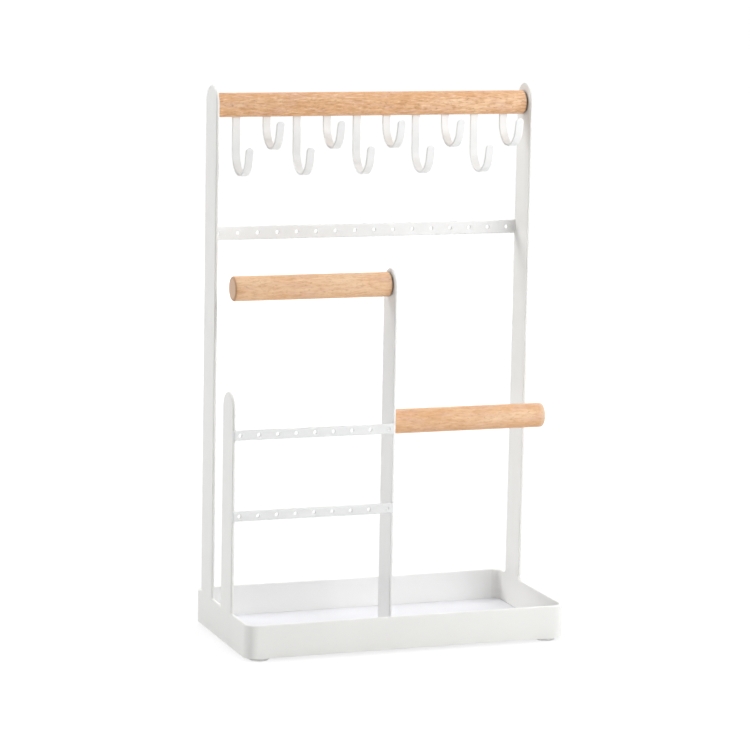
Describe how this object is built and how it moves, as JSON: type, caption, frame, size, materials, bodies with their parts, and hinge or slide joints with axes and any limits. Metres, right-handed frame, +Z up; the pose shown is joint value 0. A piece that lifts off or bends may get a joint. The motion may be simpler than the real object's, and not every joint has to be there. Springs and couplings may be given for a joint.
{
  "type": "jewelry stand",
  "caption": "Free-standing jewelry stand: a shallow steel tray with flat uprights, wooden dowels, perforated earring strips and J hooks under the top dowel.",
  "frame": {"origin": "centre of the footprint, on the surface that the pads rest on", "axes": "+Z up, +X to the right seen from the open front, -Y to the front"},
  "size_m": [0.197, 0.102, 0.323],
  "materials": {
    "white_coat": "white powder coat, satin, on steel sheet",
    "beech": "turned beech, clear matt finish",
    "stud_steel": "plain drawn steel, hidden inside the dowels",
    "pad_rubber": "soft white rubber, matt"
  },
  "bodies": {
    "root": {"tray_floor": "white_coat", "front_wall": "white_coat", "rear_wall": "white_coat", "left_side_frame": "white_coat", "right_side_frame": "white_coat", "middle_upright": "white_coat", "top_dowel": "beech", "left_dowel": "beech", "right_dowel": "beech", "top_earring_strip": "white_coat", "middle_earring_strip": "white_coat", "bottom_earring_strip": "white_coat", "top_dowel_left_stud": "stud_steel", "top_dowel_right_stud": "stud_steel", "left_dowel_stud": "stud_steel", "right_dowel_stud": "stud_steel", "long_hook_1": "white_coat", "short_hook_1": "white_coat", "long_hook_2": "white_coat", "short_hook_2": "white_coat", "long_hook_3": "white_coat", "short_hook_3": "white_coat", "long_hook_4": "white_coat", "short_hook_4": "white_coat", "long_hook_5": "white_coat", "short_hook_5": "white_coat", "front_left_pad": "pad_rubber", "front_right_pad": "pad_rubber", "rear_left_pad": "pad_rubber", "rear_right_pad": "pad_rubber"}
  },
  "joints": []
}
